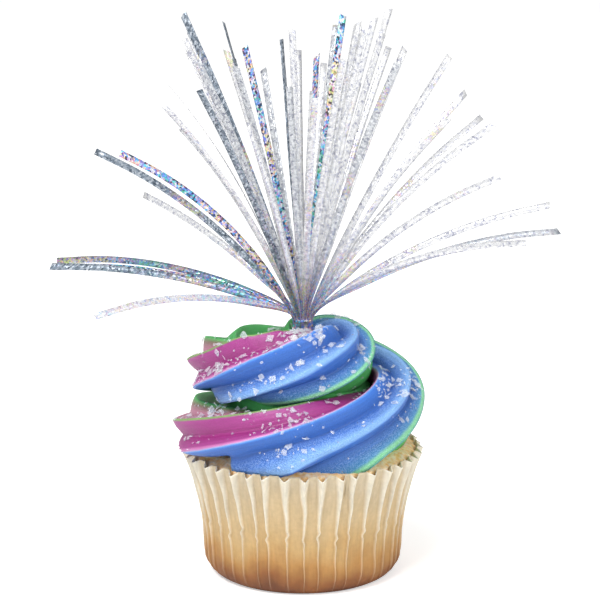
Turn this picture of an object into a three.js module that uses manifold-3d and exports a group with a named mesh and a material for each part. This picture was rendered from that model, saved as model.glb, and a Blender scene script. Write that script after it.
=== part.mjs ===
// A frosted cupcake in a pleated paper case, with a spray of foil strands pushed into its top.
// Millimetres, +Z up. The case stands on z = 0, its axis is the Z axis, and the front faces -Y.
// Turns are degrees about +Z, counted from +X.
import * as THREE from 'three';
import { mergeVertices } from 'three/addons/utils/BufferGeometryUtils.js';
import Module from 'manifold-3d';

const wasm = await Module();
wasm.setup();

// Clearance left between two pieces that touch.
const clearance = 0.3;

// Paper case: flat panels round the cake, with a fold standing out between each two of them.
const pleatCount = 40;
const footRadius = 24.8;
const footCorner = 4.2;
const panelLowRadius = 29;
const panelRimRadius = 33.9;
const flareStart = 7;
const flarePower = 1.8;
const rimHeight = 37.8;
const paperWall = 0.5;
const foldRimDepth = 2.2;
const foldLowDepth = 0.55;
const foldRimWidth = 0.5;
const foldLowWidth = 0.14;
const foldOpenHeight = 22;
const foldRootHeight = 4.725;
const foldDeepening = 2.5;
const foldWidening = 2;
const foldInnerShare = 0.9;
// How far each fold strays sideways as [share of a pleat, beat], so that no two are quite alike.
const foldDrifts = [[0.12, 2.4], [0.08, 5.1]];
const wallHeights = [11, 18, 25, 31.5, rimHeight];

// Cake: it fills the case and rises to a low dome inside the rim.
const cakeEdgeHeight = 37;
const domeRise = 6.5;
const cakeSides = 40;
const cakeHeights = [flareStart, 18, 27, cakeEdgeHeight - 1.2];
const domeRadii = [28, 22, 15, 8, 0];

// Frosting: one rope from a six-pointed star tip, laid anticlockwise and climbing inwards.
// A station each quarter turn: [path radius, height of the rope's middle, crest radius of the rope,
// turn of the star, how far the underside sags as a share of the crest radius].
const ropeStations = [
  [24.0, 43.0, 7.5, 32, 1.0],
  [27.0, 41.5, 9.2, 28, 1.0],
  [29.6, 42.6, 9.9, 20, 1.0],
  [27.2, 48.0, 10.3, 9, 1.2],
  [26.2, 54.0, 10.1, 5, 1.5],
  [25.6, 58.5, 10.0, 8, 1.2],
  [25.0, 61.8, 9.7, 18, 1.0],
  [19.2, 66.4, 9.8, 33, 1.0],
  [11.8, 67.0, 9.9, 35, 1.0],
  [9.0, 66.0, 9.3, 32, 1.0],
  [7.6, 64.6, 8.2, 30, 1.0],
];
const stationTurn = 90;
const ropeStart = 20;
const ropeEnd = 888;
const ropeStep = 14;
const ropeRingsPerPiece = 7;
const endRound = 40;
const endShare = 0.35;
const starPoints = 6;
const pointsPerCrest = 2;
const grooveShare = 0.63;
const crestSharpness = 1.15;
const rimSquash = { below: 40, radius: 35.2 };
const ropeInnermost = 0.4;
// The heart of the swirl, as [radius, height] up its side.
const heartProfile = [[26.5, 34], [26.5, 49], [19, 58], [12, 64]];

// Foil spray: strands gathered in a bundle that goes down into the frosting.
const bundleFoot = 62;
const bundleTop = 78.6;
const bundleFootRadius = 2.5;
const bundleTopRadius = 4.2;
const bundleFlutes = 9;
const bundleFluteDepth = 0.35;
const bundleFlare = 1.3;
const bundleHeights = [bundleFoot, 67, 72, 76, bundleTop];
const strandWidth = 2;
const strandFootWidth = 0.8;
const strandThickness = 0.22;
const strandSegments = 5;
const strandFineSteps = 6;
const strandWidening = 14;
const crownRadius = 4.3;
const crownDrop = 2.6;
const facingLift = 0.35;
// One strand a row, from the inside of the bundle to the outside:
// [turn it leans towards, lean at its foot, lean at its tip, length, turn its flat side faces].
const strandTable = [
  [338, 7, 9, 87, 280],
  [256, 8, 8, 84, 268],
  [122, 8, 8, 78, 330],
  [197, 10, 14, 79, 262],
  [0, 11, 15, 87, 285],
  [37, 12, 14, 84, 255],
  [280, 15, 15, 80, 300],
  [17, 14, 18, 90, 290],
  [309, 15, 19, 89, 250],
  [70, 18, 20, 84, 275],
  [225, 17, 23, 84, 240],
  [196, 17, 25, 94, 258],
  [133, 20, 24, 87, 345],
  [158, 20, 26, 87, 285],
  [113, 21, 25, 72, 262],
  [92, 23, 25, 78, 300],
  [31, 21, 27, 81, 265],
  [303, 21, 27, 94, 292],
  [62, 23, 27, 84, 246],
  [223, 23, 31, 94, 275],
  [245, 24, 32, 88, 250],
  [356, 24, 32, 85, 262],
  [265, 27, 31, 83, 285],
  [283, 26, 33, 93, 256],
  [81, 28, 32, 77, 270],
  [137, 26, 38, 84, 310],
  [117, 29, 37, 81, 250],
  [59, 30, 38, 86, 282],
  [298, 28, 38, 96, 275],
  [240, 28, 40, 98, 262],
  [226, 28, 48, 85, 236],
  [28, 33, 49, 80, 276],
  [273, 34, 44, 94, 265],
  [313, 33, 49, 85, 298],
  [344, 31, 55, 79, 270],
  [257, 36, 50, 90, 290],
  [244, 34, 44, 96, 250],
  [130, 32, 60, 85, 350],
  [87, 39, 53, 80, 262],
  [74, 40, 52, 84, 290],
  [209, 30, 64, 77, 262],
  [172, 36, 68, 75, 280],
  [322, 41, 67, 82, 275],
  [40, 43, 65, 85, 255],
  [121, 47, 70, 83, 285],
  [352, 50, 78, 77, 265],
  [316, 54, 82, 88, 300],
  [134, 60, 80, 72, 272],
  [196, 64, 88, 74, 262],
  [27, 66, 94, 87, 280],
  [155, 74, 98, 77, 275],
  [221, 66, 98, 74, 265],
  [149, 72, 102, 86, 290],
];

const radians = THREE.MathUtils.degToRad;

// A closed body through rings of points, each ring anticlockwise round the way from first to last,
// and both ends shut with a fan from the ring's middle.
function skin(rings) {
  const around = rings[0].length;
  const positions = [];
  const index = [];
  for (const ring of rings) {
    for (const point of ring) positions.push(point.x, point.y, point.z);
  }
  for (let ring = 0; ring + 1 < rings.length; ring += 1) {
    for (let side = 0; side < around; side += 1) {
      const next = (side + 1) % around;
      const a = ring * around + side;
      const b = ring * around + next;
      index.push(a, b, b + around, a, b + around, a + around);
    }
  }
  const ends = [[rings[0], 0, true], [rings.at(-1), (rings.length - 1) * around, false]];
  for (const [ring, first, isFoot] of ends) {
    const middle = new THREE.Vector3();
    for (const point of ring) middle.add(point);
    middle.divideScalar(around);
    const hub = positions.length / 3;
    positions.push(middle.x, middle.y, middle.z);
    for (let side = 0; side < around; side += 1) {
      const a = first + side;
      const b = first + (side + 1) % around;
      index.push(hub, isFoot ? b : a, isFoot ? a : b);
    }
  }
  const geometry = new THREE.BufferGeometry();
  geometry.setAttribute('position', new THREE.Float32BufferAttribute(positions, 3));
  geometry.setIndex(index);
  return geometry;
}

function toManifold(geometry) {
  const bare = geometry.clone();
  bare.deleteAttribute('normal');
  bare.deleteAttribute('uv');
  const merged = mergeVertices(bare, 1e-4);
  return new wasm.Manifold(new wasm.Mesh({
    numProp: 3,
    vertProperties: new Float32Array(merged.attributes.position.array),
    triVerts: new Uint32Array(merged.index.array),
  }));
}

function toGeometry(solid) {
  const mesh = solid.getMesh();
  const geometry = new THREE.BufferGeometry();
  geometry.setAttribute('position', new THREE.BufferAttribute(mesh.vertProperties, 3));
  geometry.setIndex(new THREE.BufferAttribute(mesh.triVerts, 1));
  return geometry;
}

// A turned body about +Z from [radius, height] points that start and end on the axis, rising.
function turned(profile, sides) {
  const points = profile.map(([radius, height]) => new THREE.Vector2(radius, height));
  const geometry = new THREE.LatheGeometry(points, sides);
  geometry.rotateX(Math.PI / 2);
  return geometry;
}

// Paper case

function panelRadius(height) {
  const flare = Math.max(height - flareStart, 0) / (rimHeight - flareStart);
  return panelLowRadius + (panelRimRadius - panelLowRadius) * flare ** flarePower;
}

// How far the folds stand out at a height, how wide they are there, and how open on the inside.
function foldAt(height) {
  const share = height / rimHeight;
  const lowDepth = foldLowDepth * Math.min(height / foldRootHeight, 1);
  return {
    depth: lowDepth + (foldRimDepth - foldLowDepth) * share ** foldDeepening,
    width: foldLowWidth + (foldRimWidth - foldLowWidth) * share ** foldWidening,
    open: Math.max(height - foldOpenHeight, 0) / (rimHeight - foldOpenHeight),
  };
}

function caseRing(radius, height, depth, width) {
  const ring = [];
  for (let pleat = 0; pleat < pleatCount; pleat += 1) {
    let drift = 0;
    for (const [swing, beat] of foldDrifts) drift += swing * Math.sin(pleat * beat);
    for (const [place, out] of [[0, depth], [width / 2, 0], [1 - width / 2, 0]]) {
      const turn = (pleat + place + drift * (1 - place)) / pleatCount * 2 * Math.PI;
      const reach = radius + out;
      ring.push(new THREE.Vector3(reach * Math.cos(turn), reach * Math.sin(turn), height));
    }
  }
  return ring;
}

function makePaperCase() {
  const rings = [caseRing(footRadius, 0, 0, foldLowWidth)];
  for (const climb of [35, 65, 90]) {
    const height = flareStart * (1 - Math.cos(radians(climb)));
    const radius = footRadius + footCorner * Math.sin(radians(climb));
    rings.push(caseRing(radius, height, foldAt(height).depth, foldLowWidth));
  }
  for (const height of wallHeights) {
    const fold = foldAt(height);
    rings.push(caseRing(panelRadius(height), height, fold.depth, fold.width));
  }
  for (const height of [rimHeight, foldOpenHeight + 5, flareStart]) {
    const fold = foldAt(height);
    const inside = panelRadius(height) - paperWall;
    rings.push(caseRing(inside, height, fold.depth * fold.open, fold.width * foldInnerShare));
  }
  rings.push(caseRing(footRadius - paperWall, paperWall, 0, foldLowWidth));
  return skin(rings);
}

// Cake

function domeHeight(radius) {
  const edge = panelRimRadius - paperWall - clearance;
  return cakeEdgeHeight + domeRise * (1 - Math.min(radius / edge, 1) ** 2);
}

function makeCake() {
  const inset = paperWall + clearance;
  const profile = [[0, inset], [footRadius - 2 * inset, inset]];
  for (const height of cakeHeights) profile.push([panelRadius(height) - inset, height]);
  for (const radius of [32, ...domeRadii]) profile.push([radius, domeHeight(radius)]);
  return turned(profile, cakeSides);
}

// Frosting

const stationPath = new THREE.CatmullRomCurve3(
  ropeStations.map(([reach, height, crest]) => new THREE.Vector3(reach, height, crest)),
  false,
  'catmullrom',
  0.5,
);
const stationShape = new THREE.CatmullRomCurve3(
  ropeStations.map(([, , , starTurn, sag]) => new THREE.Vector3(starTurn, sag, 0)),
  false,
  'catmullrom',
  0.5,
);

// The rope's place and shape after so many degrees of turning.
function ropeAt(turn) {
  const share = Math.min(turn / (stationTurn * (ropeStations.length - 1)), 1);
  const path = stationPath.getPoint(share);
  const shape = stationShape.getPoint(share);
  const fromEnd = Math.min(turn - ropeStart, ropeEnd - turn);
  const closing = Math.sqrt(1 - (1 - Math.min(fromEnd / endRound, 1)) ** 2);
  return {
    reach: path.x,
    height: path.y,
    crest: path.z * (endShare + (1 - endShare) * closing),
    starTurn: shape.x,
    sag: shape.y,
  };
}

// Radius of the star section as a share of its crest radius.
function starShare(place) {
  const toCrest = Math.abs(((place + 0.5) % 1) - 0.5) * 2;
  return grooveShare + (1 - grooveShare) * (1 - toCrest) ** crestSharpness;
}

function ropeRing(turn) {
  const rope = ropeAt(turn);
  const ring = [];
  const count = starPoints * pointsPerCrest;
  for (let step = 0; step < count; step += 1) {
    const aroundTip = step / count * 360;
    const up = radians(turn + rope.starTurn - aroundTip);
    const size = rope.crest * starShare(step / pointsPerCrest);
    const sag = Math.sin(up) < 0 ? rope.sag : 1;
    const height = rope.height + size * Math.sin(up) * sag;
    const free = Math.max(rope.reach + size * Math.cos(up), ropeInnermost);
    const reach = height < rimSquash.below ? Math.min(free, rimSquash.radius) : free;
    const at = radians(turn);
    ring.push(new THREE.Vector3(reach * Math.cos(at), reach * Math.sin(at), height));
  }
  return ring;
}

function makeRope() {
  const steps = Math.round((ropeEnd - ropeStart) / ropeStep);
  const rings = [];
  for (let step = 0; step <= steps; step += 1) rings.push(ropeRing(ropeStart + step * ropeStep));
  let rope = null;
  for (let first = 0; first < steps; first += ropeRingsPerPiece) {
    const piece = toManifold(skin(rings.slice(first, first + ropeRingsPerPiece + 1)));
    rope = rope ? rope.add(piece) : piece;
  }
  return rope;
}

// The room that the cake and the case's rim take from the frosting.
function makeSeat() {
  const rim = panelRimRadius + foldRimDepth + clearance;
  const top = rimHeight + clearance;
  const below = footCorner;
  const profile = [[0, below], [rim, below], [rim, top]];
  for (const radius of [30, ...domeRadii]) {
    profile.push([radius, Math.max(domeHeight(radius) + clearance, top)]);
  }
  return toManifold(turned(profile, cakeSides));
}

function bundleRadius(height) {
  const share = (height - bundleFoot) / (bundleTop - bundleFoot);
  return bundleFootRadius + (bundleTopRadius - bundleFootRadius) * share ** bundleFlare;
}

function makeFrosting() {
  const [lowest] = heartProfile;
  const heart = [[0, lowest[1]], ...heartProfile, [0, heartProfile.at(-1)[1]]];
  const holeFoot = bundleFoot - clearance;
  const hole = [[0, holeFoot], [bundleFootRadius + clearance, holeFoot]];
  for (const height of [68, 73, bundleTop]) hole.push([bundleRadius(height) + clearance, height]);
  const above = bundleTop + bundleTopRadius;
  hole.push([bundleTopRadius + clearance, above], [0, above]);
  const solid = makeRope()
    .add(toManifold(turned(heart, cakeSides)))
    .subtract(makeSeat())
    .subtract(toManifold(turned(hole, 24)));
  return toGeometry(solid);
}

// Foil spray

function makeBundle() {
  const rings = [];
  const around = bundleFlutes * 2;
  for (const height of bundleHeights) {
    const ring = [];
    for (let step = 0; step < around; step += 1) {
      const turn = step / around * 2 * Math.PI;
      const reach = bundleRadius(height) - (step % 2) * bundleFluteDepth;
      ring.push(new THREE.Vector3(reach * Math.cos(turn), reach * Math.sin(turn), height));
    }
    rings.push(ring);
  }
  return skin(rings);
}

// Points along a strand that leans more and more, as [place, way it runs].
function strandPath([towards, footLean, tipLean, length], rank) {
  const share = Math.sqrt((rank + 0.5) / strandTable.length);
  const out = new THREE.Vector3(Math.cos(radians(towards)), Math.sin(radians(towards)), 0);
  const place = out.clone().multiplyScalar(crownRadius * share);
  place.z = bundleTop + clearance + crownDrop * (1 - share ** 2);
  const stops = [];
  const steps = strandSegments * strandFineSteps;
  for (let step = 0; step <= steps; step += 1) {
    const along = step / steps;
    const lean = radians(footLean + (tipLean - footLean) * along);
    const way = out.clone().multiplyScalar(Math.sin(lean));
    way.z = Math.cos(lean);
    if (step % strandFineSteps === 0) stops.push([place.clone(), way]);
    place.addScaledVector(way, length / steps);
  }
  return stops;
}

function makeStrand(row, rank) {
  const [, , , length, faces] = row;
  const facing = new THREE.Vector3(Math.cos(radians(faces)), Math.sin(radians(faces)), facingLift);
  const rings = strandPath(row, rank).map(([place, way], stop) => {
    const across = new THREE.Vector3().crossVectors(way, facing).normalize();
    const thick = new THREE.Vector3().crossVectors(way, across).multiplyScalar(strandThickness / 2);
    const widened = Math.min(stop / strandSegments * length / strandWidening, 1);
    across.multiplyScalar((strandFootWidth + (strandWidth - strandFootWidth) * widened) / 2);
    return [[-1, -1], [1, -1], [1, 1], [-1, 1]].map(([side, face]) => (
      place.clone().addScaledVector(across, side).addScaledVector(thick, face)
    ));
  });
  return skin(rings);
}

// The whole

const cupcake = new THREE.Group();

function addPiece(name, geometry, color, roughness, metalness) {
  const material = new THREE.MeshStandardMaterial({ color, roughness, metalness });
  const mesh = new THREE.Mesh(geometry, material);
  mesh.name = name;
  cupcake.add(mesh);
}

addPiece('paper_case', makePaperCase(), 0xeadcc0, 0.75, 0);
addPiece('cake', makeCake(), 0xd9a95c, 0.9, 0);
addPiece('frosting', makeFrosting(), 0x3d6fd0, 0.55, 0);
addPiece('foil_bundle', makeBundle(), 0xc9cdd6, 0.3, 0.9);
strandTable.forEach((row, rank) => {
  const name = `foil_strand_${String(rank + 1).padStart(2, '0')}`;
  addPiece(name, makeStrand(row, rank), 0xe2e5ec, 0.25, 0.9);
});

export default cupcake;
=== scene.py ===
import math
import random

import bmesh
import bpy
from mathutils import Matrix, Vector, noise
from mathutils.bvhtree import BVHTree


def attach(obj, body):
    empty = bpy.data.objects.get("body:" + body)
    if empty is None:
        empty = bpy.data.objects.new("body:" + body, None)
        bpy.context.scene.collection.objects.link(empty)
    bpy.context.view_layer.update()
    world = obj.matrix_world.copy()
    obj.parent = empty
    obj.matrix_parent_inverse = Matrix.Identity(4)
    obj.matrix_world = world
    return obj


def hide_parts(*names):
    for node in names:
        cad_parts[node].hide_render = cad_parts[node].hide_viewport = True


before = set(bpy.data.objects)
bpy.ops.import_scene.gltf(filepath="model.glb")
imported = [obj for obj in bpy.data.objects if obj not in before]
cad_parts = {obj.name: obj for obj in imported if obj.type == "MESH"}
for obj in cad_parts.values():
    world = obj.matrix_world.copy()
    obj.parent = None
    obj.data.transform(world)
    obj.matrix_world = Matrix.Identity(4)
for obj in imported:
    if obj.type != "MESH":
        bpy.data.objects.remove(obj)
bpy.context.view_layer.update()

# Sizes are millimetres and turns are degrees about +Z from +X, until toPiece scales a mesh to metres.
mm = 0.001


# Numbers and places

def shareBetween(low, high, value):
    return min(max((value - low) / (high - low), 0.0), 1.0)


def smoothBetween(low, high, value):
    share = shareBetween(low, high, value)
    return share * share * (3 - 2 * share)


def mix(start, end, share):
    return start + (end - start) * share


def onTurn(reach, turn, height):
    return Vector((reach * math.cos(math.radians(turn)), reach * math.sin(math.radians(turn)), height))


def ripple(*place):
    return noise.noise(Vector(place))


# The row of numbers at a share of the way through some rows, on a Catmull-Rom curve.
def through(rows, share):
    place = share * (len(rows) - 1)
    here = min(int(place), len(rows) - 2)
    step = place - here
    before = [2 * a - b for a, b in zip(rows[0], rows[1])]
    after = [2 * b - a for a, b in zip(rows[-2], rows[-1])]
    longer = [before, *rows, after]
    found = []
    for a, b, c, d in zip(*longer[here:here + 4]):
        leave, arrive = (c - a) / 2, (d - b) / 2
        bend = 3 * (c - b) - 2 * leave - arrive
        curl = 2 * (b - c) + leave + arrive
        found.append(b + step * (leave + step * (bend + step * curl)))
    return found


# Pieces

# A grid of faces: lay(vert, across, along) places each vert, and the map "laid" keeps across and along.
def addGrid(bm, columns, rows, lay, start=(0, 0), span=(1, 1)):
    laid = bm.loops.layers.uv.get("laid") or bm.loops.layers.uv.new("laid")
    made = bmesh.ops.create_grid(bm, x_segments=columns, y_segments=rows, size=0.5)["verts"]
    for face in {face for vert in made for face in vert.link_faces}:
        for loop in face.loops:
            across, along = loop.vert.co.x + 0.5, loop.vert.co.y + 0.5
            loop[laid].uv = (start[0] + across * span[0], start[1] + along * span[1])
    for vert in made:
        lay(vert, vert.co.x + 0.5, vert.co.y + 0.5)
    return made


def closeUp(bm):
    bmesh.ops.remove_doubles(bm, verts=bm.verts, dist=1e-4)
    borders = [edge for edge in bm.edges if edge.is_boundary]
    if borders:
        bmesh.ops.holes_fill(bm, edges=borders, sides=0)
        bmesh.ops.recalc_face_normals(bm, faces=bm.faces)


def toPiece(bm, name, material, nodes=(), smooth=True):
    bmesh.ops.scale(bm, vec=(mm, mm, mm), verts=bm.verts)
    mesh = bpy.data.meshes.new(name)
    bm.to_mesh(mesh)
    bm.free()
    mesh.materials.append(material)
    if smooth:
        mesh.shade_smooth()
    piece = bpy.data.objects.new(name, mesh)
    bpy.context.scene.collection.objects.link(piece)
    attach(piece, "root")
    if nodes:
        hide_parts(*nodes)
    print(name, len(mesh.polygons), "faces")
    return piece


# Nodes

def newMaterial(name, settings):
    material = bpy.data.materials.new(name)
    material.use_nodes = True
    shader = material.node_tree.nodes["Principled BSDF"]
    for socket, value in settings.items():
        shader.inputs[socket].default_value = value
    return material, material.node_tree, shader


def plug(tree, made, inputs):
    for socket, value in inputs.items():
        if isinstance(value, bpy.types.NodeSocket):
            tree.links.new(value, made.inputs[socket])
        else:
            made.inputs[socket].default_value = value
    return made


def addNode(tree, kind, inputs=None, **settings):
    made = tree.nodes.new(kind)
    for name, value in settings.items():
        setattr(made, name, value)
    return plug(tree, made, inputs or {})


def addMath(tree, operation, *values, clamp=False):
    inputs = dict(enumerate(values))
    return addNode(tree, "ShaderNodeMath", inputs, operation=operation, use_clamp=clamp).outputs[0]


def addVectorMath(tree, operation, inputs):
    return addNode(tree, "ShaderNodeVectorMath", inputs, operation=operation).outputs[0]


def addNoise(tree, vector, scale, detail):
    inputs = {"Vector": vector, "Scale": scale, "Detail": detail}
    return addNode(tree, "ShaderNodeTexNoise", inputs).outputs[0]


def addCells(tree, vector, scale, **settings):
    return addNode(tree, "ShaderNodeTexVoronoi", {"Vector": vector, "Scale": scale}, **settings).outputs


def addRange(tree, value, low, high, toLow=0.0, toHigh=1.0):
    inputs = {0: value, 1: low, 2: high, 3: toLow, 4: toHigh}
    return addNode(tree, "ShaderNodeMapRange", inputs, interpolation_type="SMOOTHSTEP").outputs[0]


def addMix(tree, share, first, second, blend="MIX"):
    inputs = {0: share, 6: first, 7: second}
    return addNode(tree, "ShaderNodeMix", inputs, data_type="RGBA", blend_type=blend).outputs[2]


# Shades a colour by a pattern: it is multiplied by least where the pattern is 0, and by least + reach at 1.
def addShade(tree, colour, pattern, least, reach):
    amount = addMath(tree, "MULTIPLY_ADD", pattern, reach, least)
    return addMix(tree, 1.0, colour, amount, "MULTIPLY")


def addRamp(tree, value, stops):
    made = addNode(tree, "ShaderNodeValToRGB", {0: value})
    points = made.color_ramp.elements
    points.remove(points[1])
    points[0].position = stops[0][0]
    points[0].color = (*stops[0][1], 1)
    for place, colour in stops[1:]:
        points.new(place).color = (*colour, 1)
    return made.outputs[0]


def addBump(tree, shader, height, depth, strength=1.0):
    bump = addNode(tree, "ShaderNodeBump", {"Strength": strength, "Distance": depth, "Height": height})
    tree.links.new(bump.outputs[0], shader.inputs["Normal"])


# Grain, for several finishes: soft mottling, and specks on a share of the cells of a finer pattern.
def makeGrainGroup():
    group = bpy.data.node_groups.new("grain", "ShaderNodeTree")
    group.interface.new_socket("Vector", in_out="INPUT", socket_type="NodeSocketVector")
    for name in ("Mottle Scale", "Speck Scale", "Speck Share"):
        group.interface.new_socket(name, in_out="INPUT", socket_type="NodeSocketFloat")
    for name in ("Mottle", "Speck"):
        group.interface.new_socket(name, in_out="OUTPUT", socket_type="NodeSocketFloat")
    given = addNode(group, "NodeGroupInput").outputs
    soft = addNoise(group, given["Vector"], given["Mottle Scale"], 2.0)
    cells = addCells(group, given["Vector"], given["Speck Scale"])
    lot = addNode(group, "ShaderNodeSeparateColor", {0: cells["Color"]}).outputs[0]
    chosen = addMath(group, "LESS_THAN", lot, given["Speck Share"])
    near = addMath(group, "LESS_THAN", cells["Distance"], 0.36)
    speck = addMath(group, "MULTIPLY", chosen, near)
    addNode(group, "NodeGroupOutput", {"Mottle": soft, "Speck": speck})
    return group


grainGroup = makeGrainGroup()


def addGrain(tree, vector, mottleScale, speckScale, speckShare):
    made = tree.nodes.new("ShaderNodeGroup")
    made.node_tree = grainGroup
    return plug(tree, made, {0: vector, 1: mottleScale, 2: speckScale, 3: speckShare}).outputs


def objectPlace(tree):
    return addNode(tree, "ShaderNodeTexCoord").outputs["Object"]


def laidPlace(tree):
    return addNode(tree, "ShaderNodeUVMap", uv_map="laid").outputs[0]


# Paper case

case = {
    "pleats": 40,
    "footRadius": 24.8,
    "footCorner": 4.2,
    "footPart": 0.06,  # shares of the grid's rows, for the flat foot and up to the end of its corner
    "cornerPart": 0.16,
    "lowRadius": 29.0,
    "rimRadius": 33.9,
    "flareStart": 7.0,
    "flarePower": 1.8,
    "rimHeight": 37.8,
    "foldRimDepth": 2.2,
    "foldLowDepth": 0.75,
    "foldRimWidth": 0.62,
    "foldLowWidth": 0.13,
    "foldSteps": 5,
    "panelSteps": 4,
    "rows": 56,
    "wall": 0.12,
    "kinkHeight": 18.3,
    "kinkLength": 1.3,
    "kinkReach": 0.19,
    "kinkWander": 1.1,
    "wander": 0.09,
    "panelCrown": 0.2,
    "unevenness": 0.2,
    "raggedness": 0.35,
    "raggedFrom": 30,
    "panelRise": 0.8,
    "foldDrop": 0.5,
}


def panelRadius(height):
    flare = max(height - case["flareStart"], 0) / (case["rimHeight"] - case["flareStart"])
    return mix(case["lowRadius"], case["rimRadius"], flare ** case["flarePower"])


# How far the folds wander off their even places, as a share of a pleat.
def pleatDrift(pleat):
    pleat %= case["pleats"]
    return 0.12 * math.sin(pleat * 2.4) + 0.08 * math.sin(pleat * 5.1)


# Where a place round the case comes to at some height: its turn, and how far it stands off the panels.
def pleatAt(across, height):
    share = height / case["rimHeight"]
    width = mix(case["foldLowWidth"], case["foldRimWidth"], share ** 2.4)
    depth = case["foldLowDepth"] * min(share * 8, 1)
    depth += (case["foldRimDepth"] - case["foldLowDepth"]) * share ** 2.5
    pleat, local = divmod(across * case["pleats"] + 1e-6, 1)
    foldPart = case["foldSteps"] / (2 * case["foldSteps"] + case["panelSteps"])
    fromFold = min(local, 1 - local)
    if fromFold < foldPart:
        offFold = fromFold / foldPart
        spot = offFold * width / 2
    else:
        offFold = 1
        spot = mix(width / 2, 0.5, (fromFold - foldPart) / (0.5 - foldPart))
    nearest = pleat if local < 0.5 else pleat + 1
    place = nearest + (spot if local < 0.5 else -spot)
    rounded = math.sqrt(offFold ** 2 + 0.02) - 0.14
    standing = depth * max(1 - rounded, 0)
    crown = case["panelCrown"] * share * math.sin(math.pi * shareBetween(width / 2, 0.5, spot) / 2)
    kinkAt = case["kinkHeight"] + case["kinkWander"] * math.sin(nearest % case["pleats"] * 3.7)
    along = (height - kinkAt) / case["kinkLength"]
    kink = math.sin(along * 1.6) * math.exp(-along ** 2) * (1 if nearest % 3 else -0.6)
    drift = mix(pleatDrift(pleat), pleatDrift(pleat + 1), place - pleat)
    drift += case["wander"] * ripple(nearest % case["pleats"] * 3.3, height / 6, 0.4)
    turn = (place + drift + case["kinkReach"] * kink * (1 - offFold * 0.6)) * 360 / case["pleats"]
    return turn, standing, standing + crown


# Radius and height of the case's plain panels, from the middle of its foot out and up to its rim.
def panelProfile(along):
    footPart, cornerPart = case["footPart"], case["cornerPart"]
    if along < footPart:
        return case["footRadius"] * along / footPart, 0.0
    if along < cornerPart:
        climb = math.radians(90 * (along - footPart) / (cornerPart - footPart))
        height = case["flareStart"] * (1 - math.cos(climb))
        return case["footRadius"] + case["footCorner"] * math.sin(climb), height
    height = mix(case["flareStart"], case["rimHeight"], (along - cornerPart) / (1 - cornerPart))
    return panelRadius(height), height


def makeCase():
    bm = bmesh.new()
    lift = bm.verts.layers.float.new("lift")

    def lay(vert, across, along):
        radius, height = panelProfile(along)
        turn, standing, out = pleatAt(across, height)
        spot = onTurn(8, turn, height / 6)
        ragged = case["raggedness"] * ripple(spot.x, spot.y, 3.1)
        ragged += mix(case["panelRise"], -case["foldDrop"], min(standing / 2, 1))
        ragged *= smoothBetween(case["raggedFrom"], case["rimHeight"], height)
        out += case["unevenness"] * ripple(*spot) * smoothBetween(2, 6, height)
        vert.co = onTurn(radius + out * smoothBetween(0, 1.5, height), turn, height + ragged)
        vert[lift] = standing

    columns = case["pleats"] * (2 * case["foldSteps"] + case["panelSteps"])
    addGrid(bm, columns, case["rows"], lay)
    bmesh.ops.remove_doubles(bm, verts=bm.verts, dist=1e-4)
    bmesh.ops.solidify(bm, geom=bm.faces[:], thickness=case["wall"])
    return bm


def makePaper():
    material, tree, shader = newMaterial("greaseproofPaper", {
        "Roughness": 0.6,
        "Subsurface Weight": 0.1,
        "Subsurface Radius": (1.0, 0.7, 0.4),
        "Subsurface Scale": 0.0015,
    })
    place = objectPlace(tree)
    height = addNode(tree, "ShaderNodeSeparateXYZ", {0: place}).outputs[2]
    uneven = addMath(tree, "MULTIPLY_ADD", addNoise(tree, place, 75.0, 3.0), 0.018, -0.009)
    climbed = addMath(tree, "DIVIDE", addMath(tree, "ADD", height, uneven), case["rimHeight"] * mm)
    baked = addRamp(tree, climbed, [
        (0.0, (0.165, 0.043, 0.005)),
        (0.12, (0.28, 0.09, 0.011)),
        (0.26, (0.48, 0.23, 0.048)),
        (0.42, (0.58, 0.35, 0.12)),
        (0.66, (0.63, 0.44, 0.21)),
        (0.88, (0.55, 0.41, 0.23)),
        (1.0, (0.58, 0.46, 0.29)),
    ])
    lifted = addNode(tree, "ShaderNodeAttribute", attribute_name="lift").outputs["Fac"]
    free = addMath(tree, "MULTIPLY", lifted, 0.9, clamp=True)
    paleness = addRange(tree, climbed, 0.05, 0.6, 0.3, 0.95)
    white = addMath(tree, "MULTIPLY", free, paleness)
    colour = addMix(tree, white, baked, (0.74, 0.68, 0.55, 1))
    upright = addNode(tree, "ShaderNodeMapping", {0: place, 3: (900.0, 900.0, 90.0)}).outputs[0]
    # Darker on the flat panels than on the standing folds.
    panelDarkening = addRange(tree, lifted, 0.02, 0.5, 0.86, 1.0)
    colour = addMix(tree, 1.0, colour, panelDarkening, "MULTIPLY")
    colour = addShade(tree, colour, addNoise(tree, upright, 1.0, 3.0), 0.82, 0.4)
    grain = addGrain(tree, place, 900.0, 2600.0, 0.3)
    colour = addShade(tree, colour, grain["Mottle"], 0.89, 0.22)
    tree.links.new(colour, shader.inputs["Base Color"])
    addBump(tree, shader, grain["Mottle"], 0.00008, 0.5)
    return material


toPiece(makeCase(), "pleatedCase", makePaper(), ["paper_case"])


# Sponge

sponge = {
    "edgeHeight": 38.2,
    "domeRise": 6.0,
    "edgeRadius": 33.3,
    "inside": 0.45,
    "foldFilling": 0.3,
    "sidePart": 0.45,  # share of the grid's rows that climb the side
    "edgeDrop": 0.5,
    "crumbs": [(0.45, 1.3), (0.3, 0.6)],  # how far the crumbs stand up, and how big they are
    "stepsPerPleat": 10,
    "rows": 44,
}


def domeHeight(radius):
    share = min(radius / sponge["edgeRadius"], 1)
    return sponge["edgeHeight"] + sponge["domeRise"] * (1 - share ** 2)


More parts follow.
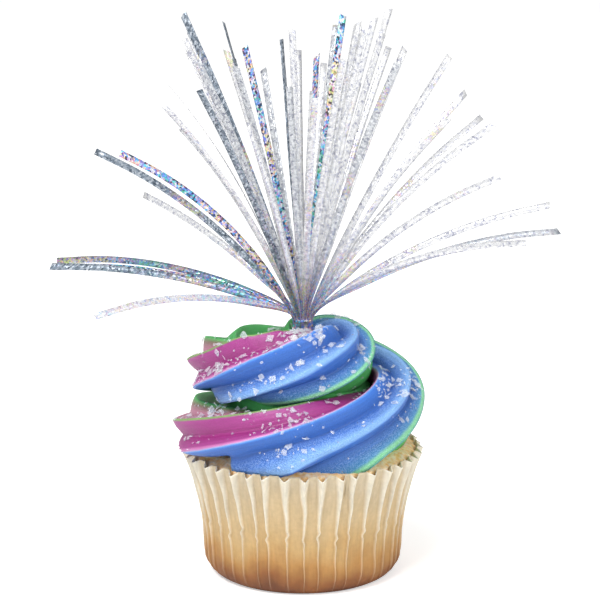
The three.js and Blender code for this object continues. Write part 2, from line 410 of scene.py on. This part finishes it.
def makeSponge():
    bm = bmesh.new()
    sidePart = sponge["sidePart"]

    def lay(vert, across, along):
        if along < sidePart:
            radius, height = panelProfile(along / sidePart)
            height = min(max(height, sponge["inside"]), sponge["edgeHeight"] - 0.6)
            turn, standing = pleatAt(across, height)[:2]
            reach = max(radius + standing * sponge["foldFilling"] - sponge["inside"], 0)
            vert.co = onTurn(reach, turn, height)
            return
        share = (along - sidePart) / (1 - sidePart)
        turn, standing = pleatAt(across, sponge["edgeHeight"])[:2]
        edge = sponge["edgeRadius"] + standing * sponge["foldFilling"]
        reach = edge * (1 - share) ** 0.8
        vert.co = onTurn(max(reach, 0), turn, domeHeight(reach) - sponge["edgeDrop"])
        crumb = sum(rise * ripple(*vert.co / size) for rise, size in sponge["crumbs"])
        vert.co.z += (sponge["edgeDrop"] + crumb) * smoothBetween(0, 0.1, share)

    addGrid(bm, case["pleats"] * sponge["stepsPerPleat"], sponge["rows"], lay)
    closeUp(bm)
    return bm


def makeCrumb():
    material, tree, shader = newMaterial("goldenCrumb", {
        "Roughness": 0.85,
        "Subsurface Weight": 0.1,
        "Subsurface Radius": (1.0, 0.5, 0.2),
        "Subsurface Scale": 0.002,
    })
    place = objectPlace(tree)
    grain = addGrain(tree, place, 700.0, 900.0, 0.45)
    toned = addRamp(tree, grain["Mottle"], [
        (0.3, (0.90, 0.50, 0.18)),
        (0.48, (0.98, 0.66, 0.34)),
        (0.65, (0.98, 0.79, 0.56)),
    ])
    colour = addMix(tree, addMath(tree, "MULTIPLY", grain["Speck"], 0.15), toned, (0.50, 0.26, 0.07, 1))
    tree.links.new(colour, shader.inputs["Base Color"])
    pits = addMath(tree, "SUBTRACT", grain["Mottle"], addMath(tree, "MULTIPLY", grain["Speck"], 0.4))
    addBump(tree, shader, pits, 0.0003)
    return material


toPiece(makeSponge(), "spongeCrumb", makeCrumb(), ["cake"])


# Frosting: one rope from a six-pointed star tip.
# The place round the tip runs from 0 to 360, with a crest each 60.

rope = {
    # a station each quarter turn: path radius, height of the middle, crest radius, turn of the star, sag
    "stations": [
        [24.0, 43.0, 7.5, 32, 1.0],
        [27.0, 41.5, 9.2, 28, 1.0],
        [29.6, 42.6, 9.9, 20, 1.0],
        [27.2, 48.0, 10.3, 9, 1.2],
        [26.2, 54.0, 10.1, 5, 1.5],
        [25.6, 58.5, 10.0, 8, 1.2],
        [25.0, 61.8, 9.7, 18, 1.0],
        [19.2, 66.4, 9.8, 33, 1.0],
        [11.8, 67.0, 9.9, 35, 1.0],
        [9.0, 66.0, 9.3, 32, 1.0],
        [7.6, 64.6, 8.2, 30, 1.0],
    ],
    "start": 20,
    "end": 888,
    "endRound": 40,
    "grooveShare": 0.63,
    "crestPower": 1.22,
    "crestRound": 0.035,
    "squashBelow": 40,
    "squashRadius": 35.2,
    "tuckedRadius": 33.2,
    "sunk": 1.1,
    "innermost": 0.4,
    # low on the front left of the first coil, a share of the crest deep
    "hollow": {"turns": (168, 234), "ease": (8, 7), "depth": 0.6},
    # where the front of the first coil sinks onto the paper's rim
    "droop": {"turns": (230, 322), "ease": (10, 30), "drop": 2.6, "heights": (46, 40)},
    # on the back left of the last coil
    "heap": {"turns": (556, 690), "ease": (30, 50), "rise": 2.6},
    "dryFaces": [(270, 302), (332, 362)],
    "mapStart": 60,
    "around": 84,
    "rings": 1080,
    "heart": [(0, 34), (26.5, 34), (26.5, 49), (19, 58), (12, 64), (0, 64)],
}


def crestCloseness(roundTip):
    offCrest = abs((roundTip / 60 + 0.5) % 1 - 0.5) * 2
    softened = math.sqrt(offCrest ** 2 + rope["crestRound"] ** 2) - rope["crestRound"] * (1 - offCrest)
    return 1 - min(softened, 1)


# The faces that drag as the rope is laid, which come out rough: above the crests at 300 and 360.
def dragged(roundTip):
    onFace = max(smoothBetween(272, 284, roundTip) * smoothBetween(303, 297, roundTip), 0)
    return onFace + smoothBetween(334, 344, roundTip) * smoothBetween(366, 358, roundTip)


# How much of the hollow, droop or heap is felt at a turn, from 0 to 1.
def feltAt(name, turn):
    first, last = rope[name]["turns"]
    easeIn, easeOut = rope[name]["ease"]
    return smoothBetween(first, first + easeIn, turn) * smoothBetween(last, last - easeOut, turn)


def ropePoint(across, along):
    turn = mix(rope["start"], rope["end"], along)
    roundTip = rope["mapStart"] + 360 * across
    quarters = len(rope["stations"]) - 1
    reach, height, crest, starTurn, sag = through(rope["stations"], min(turn / (90 * quarters), 1))
    fromEnd = min(turn - rope["start"], rope["end"] - turn)
    crest *= 0.08 + 0.92 * math.sqrt(1 - (1 - shareBetween(0, rope["endRound"], fromEnd)) ** 2)
    share = mix(rope["grooveShare"], 1, crestCloseness(roundTip) ** rope["crestPower"])
    circling = roundTip % 360
    along = turn * reach / 57.3
    share += 0.012 * ripple(*onTurn(1.3, circling, turn / 22))
    share += 0.006 * ripple(circling / 2.6, turn / 40, 4.2)
    torn = 0.010 * ripple(circling / 4, along / 1.1, 8) + 0.006 * ripple(circling / 2, along / 0.5, 2)
    share += dragged(circling) * torn
    below = smoothBetween(266, 278, circling) * smoothBetween(352, 330, circling)
    share *= 1 - rope["hollow"]["depth"] * feltAt("hollow", turn) * below
    up = math.radians(turn + starTurn - roundTip)
    size = crest * share
    high = height + size * math.sin(up) * (sag if math.sin(up) < 0 else 1)
    lumps = 0.5 * ripple(circling / 12, along / 4, 6) + 0.3 * ripple(circling / 5, along / 1.5, 3)
    high += feltAt("heap", turn) * max(math.sin(up), 0) * (rope["heap"]["rise"] + lumps)
    high -= rope["droop"]["drop"] * feltAt("droop", turn) * smoothBetween(*rope["droop"]["heights"], high)
    out = max(reach + size * math.cos(up), rope["innermost"])
    if high < rope["squashBelow"]:
        above = shareBetween(case["rimHeight"] + 0.4, rope["squashBelow"], high)
        out = min(out, mix(rope["tuckedRadius"], rope["squashRadius"], above))
    high = max(high, domeHeight(out) - rope["sunk"])
    return onTurn(out, turn, high)


def makeFrosting():
    bm = bmesh.new()

    def lay(vert, across, along):
        vert.co = ropePoint(across, along)

    addGrid(bm, rope["around"], rope["rings"], lay)
    closeUp(bm)
    verts = [bm.verts.new((radius, 0, height)) for radius, height in rope["heart"]]
    edges = [bm.edges.new(pair) for pair in zip(verts, verts[1:])]
    bmesh.ops.spin(
        bm, geom=verts + edges, cent=(0, 0, 0), axis=(0, 0, 1), angle=math.tau, steps=64, use_merge=True
    )
    closeUp(bm)
    return bm


# Colours round the tip, from mapStart on: green, magenta with a green line on its crest, and blue. The darker
# tones in the grooves near 90, 210, 270 and 330 are painted shade, and the light lines on the crests at 240,
# 300 and 360 are painted highlights.
def frostingStops():
    # The deep tones are painted shade for the grooves, and the pale blue is a painted highlight for a crest.
    green, grooveShadedGreen = (0.075, 0.44, 0.11), (0.04, 0.30, 0.07)
    palePink, magenta, grooveShadedMagenta = (0.46, 0.19, 0.28), (0.35, 0.045, 0.24), (0.29, 0.02, 0.175)
    blue, grooveShadedBlue, crestHighlightBlue = (0.038, 0.155, 0.55), (0.022, 0.095, 0.37), (0.08, 0.27, 0.72)
    rows = [
        (60, green),
        # painted shade in the groove near 90
        (100, grooveShadedGreen),
        (121, green),
        (129, (0.22, 0.16, 0.12)),
        (139, palePink),
        (176, palePink),
        (179, (0.22, 0.42, 0.12)),
        (181, (0.22, 0.40, 0.12)),
        (183.5, magenta),
        # painted shade in the groove at 210
        (215, grooveShadedMagenta),
        (233, magenta),
        # Painted highlight along the crest at 240: a light pink line on the magenta side and pale blue on the
        # blue side.
        (238, (0.66, 0.22, 0.50)),
        (239.6, (0.34, 0.42, 0.66)),
        (241.5, crestHighlightBlue),
        (244, blue),
        # painted shade in the groove at 270
        (272, grooveShadedBlue),
        (284, blue),
        # Painted highlight on the crest at 300.
        (300, (0.25, 0.49, 0.88)),
        (306, blue),
        # painted shade in the groove at 330
        (330, grooveShadedBlue),
        (342, (0.038, 0.17, 0.52)),
        (351, (0.045, 0.25, 0.50)),
        # The light green line on the crest at 360 is partly the real green where blue turns to green and
        # partly a painted highlight.
        (354.5, (0.26, 0.70, 0.34)),
        (357.5, (0.20, 0.62, 0.28)),
        (360.5, (0.04, 0.25, 0.42)),
        (366, (0.04, 0.29, 0.24)),
        (374, (0.05, 0.36, 0.11)),
        (392, green),
    ]
    return [((place - rope["mapStart"]) / 360, colour) for place, colour in rows]


def makeButtercream():
    material, tree, shader = newMaterial("buttercream", {
        "Roughness": 0.46,
        "Subsurface Weight": 0.12,
        "Subsurface Radius": (0.8, 0.8, 1.0),
        "Subsurface Scale": 0.001,
    })
    place = objectPlace(tree)
    laid = laidPlace(tree)
    across = addNode(tree, "ShaderNodeSeparateXYZ", {0: laid}).outputs[0]
    stretch = addNode(tree, "ShaderNodeMapping", {0: laid, 3: (90.0, 22.0, 1.0)}).outputs[0]
    streaks = addNoise(tree, stretch, 1.0, 4.0)
    wander = addNoise(tree, place, 180.0, 2.0)
    shifted = addMath(tree, "MULTIPLY_ADD", wander, 0.006, addMath(tree, "ADD", across, -0.003))
    colour = addRamp(tree, shifted, frostingStops())
    colour = addShade(tree, colour, streaks, 0.75, 0.5)
    grain = addGrain(tree, place, 3200.0, 1900.0, 0.28)
    roundTip = addMath(tree, "MULTIPLY_ADD", across, 360.0, float(rope["mapStart"]))
    faces = []
    for low, high in rope["dryFaces"]:
        rising = addRange(tree, roundTip, low, low + 12.0)
        falling = addRange(tree, roundTip, high - 5.0, high, 1.0, 0.0)
        faces.append(addMath(tree, "MULTIPLY", rising, falling))
    rough = addMath(tree, "ADD", faces[0], faces[1], clamp=True)
    dry = addMath(tree, "MULTIPLY", addRange(tree, grain["Mottle"], 0.42, 0.68), rough)
    colour = addMix(tree, addMath(tree, "MULTIPLY", dry, 0.3), colour, (0.50, 0.70, 0.94, 1))
    colour = addShade(tree, colour, grain["Mottle"], 0.75, 0.5)
    tree.links.new(colour, shader.inputs["Base Color"])
    bumps = addMath(tree, "MULTIPLY", grain["Mottle"], addMath(tree, "MULTIPLY_ADD", rough, 1.6, 0.35))
    height = addMath(tree, "MULTIPLY_ADD", streaks, 0.6, bumps)
    addBump(tree, shader, height, 0.0002)
    return material


frosting = makeFrosting()
frostingSurface = BVHTree.FromBMesh(frosting)
toPiece(frosting, "frostingSwirl", makeButtercream(), ["frosting"])


# Sugar flakes, strewn on whatever of the frosting is open to the outside

flakes = {
    "seed": 12,
    "shards": 820,
    "slivers": 90,
    "specks": 380,
    "thickness": 0.12,
    "lowest": 37,
    # places where they lie thickest: turn, height, how far they spread, share of all of them
    "drifts": [
        (205, 47, 6, 0.07),
        (200, 57, 5, 0.05),
        (222, 66, 6, 0.08),
        (330, 62, 7, 0.10),
        (350, 50, 7, 0.06),
        (270, 74, 8, 0.16),
        (180, 74, 8, 0.06),
        (20, 72, 9, 0.08),
        (262, 44, 9, 0.06),
        (252, 59, 9, 0.05),
    ],
}


# A spot on the frosting and the way it faces, in one of the drifts or anywhere.
def strewn(rng):
    lot = rng.random()
    for turn, height, spread, share in flakes["drifts"]:
        lot -= share
        if lot < 0:
            break
    while True:
        if lot < 0:
            reach = rng.uniform(14, 40) if height < 70 else rng.uniform(5, 16)
            heart = onTurn(reach, turn + rng.gauss(0, spread) * 1.6, height + rng.gauss(0, spread) * 0.5)
            climb = math.radians(rng.uniform(10, 70))
            way = -onTurn(math.cos(climb), turn + rng.gauss(0, 15), math.sin(climb))
        else:
            turn, climb = rng.uniform(0, 360), math.asin(rng.uniform(0, 1))
            heart = Vector((rng.uniform(-12, 12), rng.uniform(-12, 12), rng.uniform(42, 62)))
            way = -onTurn(math.cos(climb), turn, math.sin(climb))
        spot, normal = frostingSurface.ray_cast(heart - way * 90, way)[:2]
        if spot is None or spot.z < flakes["lowest"] or Vector((spot.x, spot.y, 0)).length < 4:
            continue
        if rng.random() < 0.12 + 0.88 * max(normal.z, 0) ** 0.8:
            return spot, normal


def addFlake(bm, rng, size, tilt, slim=1.0):
    spot, normal = strewn(rng)
    lean = Vector((rng.gauss(0, 1), rng.gauss(0, 1), rng.gauss(0, 1))).normalized()
    facing = (normal + lean * tilt).normalized()
    turned = facing.to_track_quat("Z", "Y").to_matrix().to_4x4()
    turned = turned @ Matrix.Rotation(rng.uniform(0, math.tau), 4, "Z")
    where = Matrix.Translation(spot + normal * size * 0.12 * (1 + tilt))
    shape = Matrix.Diagonal((1, slim * rng.uniform(0.55, 1), 1, 1))
    made = bmesh.ops.create_cone(
        bm, cap_ends=True, segments=rng.choice((3, 4, 4, 5)), radius1=size / 2, radius2=size / 2.3,
        depth=min(flakes["thickness"], size * 0.3), matrix=where @ turned @ shape
    )["verts"]
    for vert in made:
        vert.co += Vector((rng.uniform(-1, 1), rng.uniform(-1, 1), rng.uniform(-1, 1))) * size * 0.1


def makeFlakes():
    bm = bmesh.new()
    rng = random.Random(flakes["seed"])
    for shard in range(flakes["shards"]):
        addFlake(bm, rng, 0.7 + 2.4 * rng.random() ** 2.2, 0.4)
    for sliver in range(flakes["slivers"]):
        addFlake(bm, rng, rng.uniform(1.3, 3.0), 2.0, 0.3)
    for speck in range(flakes["specks"]):
        addFlake(bm, rng, rng.uniform(0.22, 0.5), 0.6)
    bmesh.ops.recalc_face_normals(bm, faces=bm.faces)
    return bm


def makeSugar():
    material, tree, shader = newMaterial("sugarFlake", {"Roughness": 0.1, "Alpha": 0.26})
    grain = addGrain(tree, objectPlace(tree), 500.0, 2500.0, 0.4)
    colour = addRamp(tree, grain["Mottle"], [(0.3, (0.72, 0.79, 0.90)), (0.7, (0.98, 0.99, 1.0))])
    tree.links.new(colour, shader.inputs["Base Color"])
    return material


toPiece(makeFlakes(), "sugarFlakes", makeSugar(), smooth=False)


# Foil spray

foil = {
    "width": 2.0,
    "wall": 0.07,
    "segmentLength": 3.0,
    "gatherFoot": 63.0,
    "gatherMiddle": 72.0,
    "crease": 0.08,
    "bow": 0.12,
    "twist": 0.12,
    "cellScale": 1.9,
    "edgeScale": 3.4,
    "cellTilt": 0.22,
    "seed": 5,
    # tones are 0 for a strand painted dark, a painted reflection; 0.5 for a pale one; and 1 for one full of
    # colour, a painted rainbow sheen
    "strandsDarkByReflection": (3, 12, 13, 27, 37, 42, 49, 53),
    "strandsInRainbowSheen": (1, 4, 7, 41, 51),
}


# The middle, way across and width of a strand at each of its stops, read off its solid.
def strandStops(node):
    verts = {tuple(round(value / mm, 3) for value in vert.co) for vert in node.data.vertices}
    points = [Vector(vert) for vert in verts]
    foot = min(points, key=lambda point: (point - Vector((0, 0, 76))).length)
    tip = max(points, key=lambda point: (point - foot).length)
    way = (tip - foot).normalized()
    points.sort(key=lambda point: (point - foot).dot(way))
    groups = [[points[0]]]
    for before, point in zip(points, points[1:]):
        if (point - before).dot(way) > 5:
            groups.append([])
        groups[-1].append(point)
    stops = []
    for group in groups:
        middle = sum(group, Vector()) / len(group)
        corners = sorted(group, key=lambda point: -(point - middle).length)[:4]
        first = corners[0] - middle
        spokes = [(corner - middle) for corner in corners]
        across = sum((spoke if spoke.dot(first) > 0 else -spoke for spoke in spokes), Vector()) / 4
        if stops and across.dot(stops[-1][1]) < 0:
            across = -across
        stops.append((middle, across))
    return stops


def addRibbon(bm, rows, length, rng, own):
    start = (rng.uniform(0, 60), rng.uniform(0, 60))
    slant = rng.uniform(-0.5, 0.5)
    wave = rng.uniform(0, 50)
    tone = bm.verts.layers.float.get("tone") or bm.verts.layers.float.new("tone")
    steps = max(int(length / foil["segmentLength"]), 4)

    def lay(vert, across, along):
        along = along * (1 - 0.012 * slant * (across - 0.5) * 2)
        here = through(rows, along)
        ahead = through(rows, min(along + 0.01, 1))
        behind = through(rows, max(along - 0.01, 0))
        way = (Vector(ahead[:3]) - Vector(behind[:3])).normalized()
        side = Vector(here[3:6])
        half = side.length
        flat = side.normalized().cross(way)
        turn = foil["twist"] * ripple(wave, along * 5, 0)
        side = (side.normalized() * math.cos(turn) + flat * math.sin(turn)) * half
        bowed = foil["crease"] * (1 - abs(across - 0.5) * 2) + foil["bow"] * ripple(along * 9, wave, 3)
        vert.co = Vector(here[:3]) + side * (across - 0.5) * 2 + flat * bowed
        vert[tone] = own

    addGrid(bm, 2, steps, lay, start, (foil["width"], length))


def makeSpray(names):
    bm = bmesh.new()
    rng = random.Random(foil["seed"])
    for rank, name in enumerate(names, 1):
        own = rng.choice((0.3, 0.5, 0.6, 0.7, 0.6))
        # Painted reflections: the listed strands are painted dark, or painted full of rainbow colour.
        if rank in foil["strandsDarkByReflection"]:
            own = rng.uniform(0, 0.12)
        if rank in foil["strandsInRainbowSheen"]:
            own = 1
        stops = strandStops(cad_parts[name])
        foot, across = stops[0]
        flat = Vector((foot.x, foot.y, 0))
        rows = []
        for height, share in ((foil["gatherFoot"], 0.45), (foil["gatherMiddle"], 0.62)):
            rows.append([*(flat * share + Vector((0, 0, height))), *across])
        rows += [[*middle, *side] for middle, side in stops]
        length = (stops[-1][0] - foot).length + foot.z - foil["gatherFoot"]
        addRibbon(bm, rows, length, rng, own)
    bmesh.ops.solidify(bm, geom=bm.faces[:], thickness=foil["wall"])
    return bm


def makeFoil():
    material, tree, shader = newMaterial("holographicFoil", {"Metallic": 0.4})
    place = objectPlace(tree)
    laid = laidPlace(tree)
    cells = addCells(tree, laid, foil["cellScale"], voronoi_dimensions="2D")
    lot = addNode(tree, "ShaderNodeSeparateColor", {0: cells["Color"]}).outputs
    fine = addCells(tree, laid, foil["edgeScale"], voronoi_dimensions="2D", feature="DISTANCE_TO_EDGE")
    # The cells are the foil's own mosaic; their differing greys are painted glints.
    pales = addRamp(tree, lot[0], [
        (0.0, (0.38, 0.39, 0.48)),
        (0.14, (0.62, 0.63, 0.69)),
        (0.4, (0.77, 0.775, 0.79)),
        (1.0, (0.90, 0.90, 0.90)),
    ])
    # Painted dark reflection for the strands with a low tone.
    darks = addRamp(tree, lot[0], [
        (0.0, (0.06, 0.08, 0.11)),
        (0.5, (0.22, 0.27, 0.33)),
        (1.0, (0.55, 0.60, 0.66)),
    ])
    patches = addNoise(tree, place, 60.0, 1.5)
    patchy = addMath(tree, "MULTIPLY_ADD", patches, 1.6, -0.6)
    spread = addMath(tree, "MULTIPLY_ADD", lot[1], 0.6, patchy)
    # Painted rainbow sheen, laid near the foot of the strands, in patches, and all over the strands with the
    # highest tone.
    hues = addRamp(tree, spread, [
        (0.0, (0.10, 0.50, 0.22)),
        (0.16, (0.14, 0.60, 0.48)),
        (0.3, (0.10, 0.58, 0.85)),
        (0.46, (0.14, 0.24, 0.80)),
        (0.58, (0.36, 0.30, 0.72)),
        (0.7, (0.70, 0.28, 0.44)),
        (0.8, (0.92, 0.62, 0.36)),
        (1.0, (0.60, 0.72, 0.24)),
    ])
    own = addNode(tree, "ShaderNodeAttribute", attribute_name="tone").outputs["Fac"]
    colour = addMix(tree, addRange(tree, own, 0.1, 0.45, 1.0, 0.0), pales, darks)
    bright = addRange(tree, own, 0.8, 0.95)
    # Painted dark reflection: near black on half the cells of the strands full of colour.
    darkReflectionCells = addMath(tree, "MULTIPLY", addMath(tree, "LESS_THAN", lot[0], 0.5), bright)
    colour = addMix(tree, darkReflectionCells, colour, (0.03, 0.035, 0.07, 1))
    height = addNode(tree, "ShaderNodeSeparateXYZ", {0: place}).outputs[2]
    atFoot = addRange(tree, height, 0.078, 0.098, 1.0, 0.0)
    stretch = addMath(tree, "MULTIPLY", addRange(tree, patches, 0.56, 0.7), 0.55)
    share = addMath(tree, "MAXIMUM", atFoot, stretch)
    share = addMath(tree, "MAXIMUM", share, addMath(tree, "MULTIPLY", bright, 0.9))
    tinted = addMath(tree, "MULTIPLY", addRange(tree, lot[2], 0.15, 0.7, 0.1, 1.0), share, clamp=True)
    colour = addMix(tree, tinted, colour, hues)
    edges = addRange(tree, fine["Distance"], 0.0, 0.09, 0.86, 1.0)
    colour = addMix(tree, 1.0, colour, edges, "MULTIPLY")
    tree.links.new(colour, shader.inputs["Base Color"])
    tree.links.new(addRange(tree, lot[0], 0.0, 1.0, 0.34, 0.18), shader.inputs["Roughness"])
    facing = addNode(tree, "ShaderNodeNewGeometry").outputs["Normal"]
    tilt = addVectorMath(tree, "SUBTRACT", {0: cells["Color"], 1: (0.5, 0.5, 0.5)})
    tilt = addVectorMath(tree, "SCALE", {0: tilt, "Scale": foil["cellTilt"]})
    leaning = addVectorMath(tree, "ADD", {0: tilt, 1: facing})
    tree.links.new(addVectorMath(tree, "NORMALIZE", {0: leaning}), shader.inputs["Normal"])
    return material


strands = sorted(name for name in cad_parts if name.startswith("foil_strand"))
foilMaterial = makeFoil()
toPiece(makeSpray(strands), "foilStrands", foilMaterial, strands)


gather = {
    "foot": 62.0,
    "top": 77.0,
    "footRadius": 2.3,
    "topRadius": 3.2,
    "flutes": 11,
    "fluteDepth": 0.5,
    "crumple": 0.35,
    "twist": 20,
}


def makeGather():
    bm = bmesh.new()

    def lay(vert, across, along):
        climbed = shareBetween(0, 0.9, along)
        height = mix(gather["foot"], gather["top"], climbed)
        radius = mix(gather["footRadius"], gather["topRadius"], climbed ** 1.3)
        turn = 360 * across
        flute = abs((across * gather["flutes"]) % 1 - 0.5) * 2
        radius += gather["crumple"] * ripple(*onTurn(2, turn, height / 3)) - gather["fluteDepth"] * flute
        vert.co = onTurn(radius * (1 - shareBetween(0.9, 1, along)), turn + gather["twist"] * climbed, height)

    addGrid(bm, gather["flutes"] * 8, 40, lay, (0, 0), (14.0, 17.0))
    closeUp(bm)
    return bm


toPiece(makeGather(), "foilGather", foilMaterial, ["foil_bundle"])


# Studio

view = {
    "eye": (-0.8, -800, 273.5),
    "target": (-0.8, 0, 82.56),
    "angle": 12.3,
}

studio = {
    "floorSide": 9000,
    "floorGlow": 0.45,
    "skyLight": 0.44,
    "lamps": [
        # name, place, side, watts
        ("keyLamp", (-400, -600, 1300), 700, 18),
        ("fillLamp", (900, -800, 600), 800, 7),
        ("lowLamp", (-700, -700, 140), 500, 1.6),
    ],
}


def aim(thing, place, target):
    thing.location = Vector(place) * mm
    way = (Vector(target) - Vector(place)).normalized()
    thing.rotation_euler = way.to_track_quat("-Z", "Y").to_euler()
    bpy.context.scene.collection.objects.link(thing)


def makeStudio():
    bm = bmesh.new()
    bmesh.ops.create_grid(bm, x_segments=1, y_segments=1, size=studio["floorSide"] / 2 * mm)
    mesh = bpy.data.meshes.new("paleFloor")
    bm.to_mesh(mesh)
    bm.free()
    material, tree, shader = newMaterial("paleFloor", {
        "Roughness": 0.9,
        "Base Color": (0.93, 0.93, 0.93, 1),
        "Emission Color": (1, 1, 1, 1),
    })
    seen = addNode(tree, "ShaderNodeLightPath").outputs["Is Camera Ray"]
    glow = addMath(tree, "MULTIPLY", seen, studio["floorGlow"])
    tree.links.new(glow, shader.inputs["Emission Strength"])
    mesh.materials.append(material)
    floor = bpy.data.objects.new("paleFloor", mesh)
    bpy.context.scene.collection.objects.link(floor)
    for name, place, side, watts in studio["lamps"]:
        lamp = bpy.data.lights.new(name, "AREA")
        lamp.size = side * mm
        lamp.energy = watts
        aim(bpy.data.objects.new(name, lamp), place, (0, 0, 60))
    world = bpy.data.worlds.new("softSky")
    world.use_nodes = True
    sky = world.node_tree
    background = sky.nodes["Background"]
    background.inputs[0].default_value = (1, 1, 1, 1)
    seen = addNode(sky, "ShaderNodeLightPath").outputs["Is Camera Ray"]
    sky.links.new(addRange(sky, seen, 0.0, 1.0, studio["skyLight"], 1.0), background.inputs[1])
    bpy.context.scene.world = world
    bpy.context.scene.view_settings.view_transform = "Standard"


def makeCamera():
    lens = bpy.data.cameras.new("camera")
    lens.angle = math.radians(view["angle"])
    lens.clip_end = 20
    eye = bpy.data.objects.new("camera", lens)
    aim(eye, view["eye"], view["target"])
    bpy.context.scene.camera = eye


makeStudio()
makeCamera()
print("studio ready")
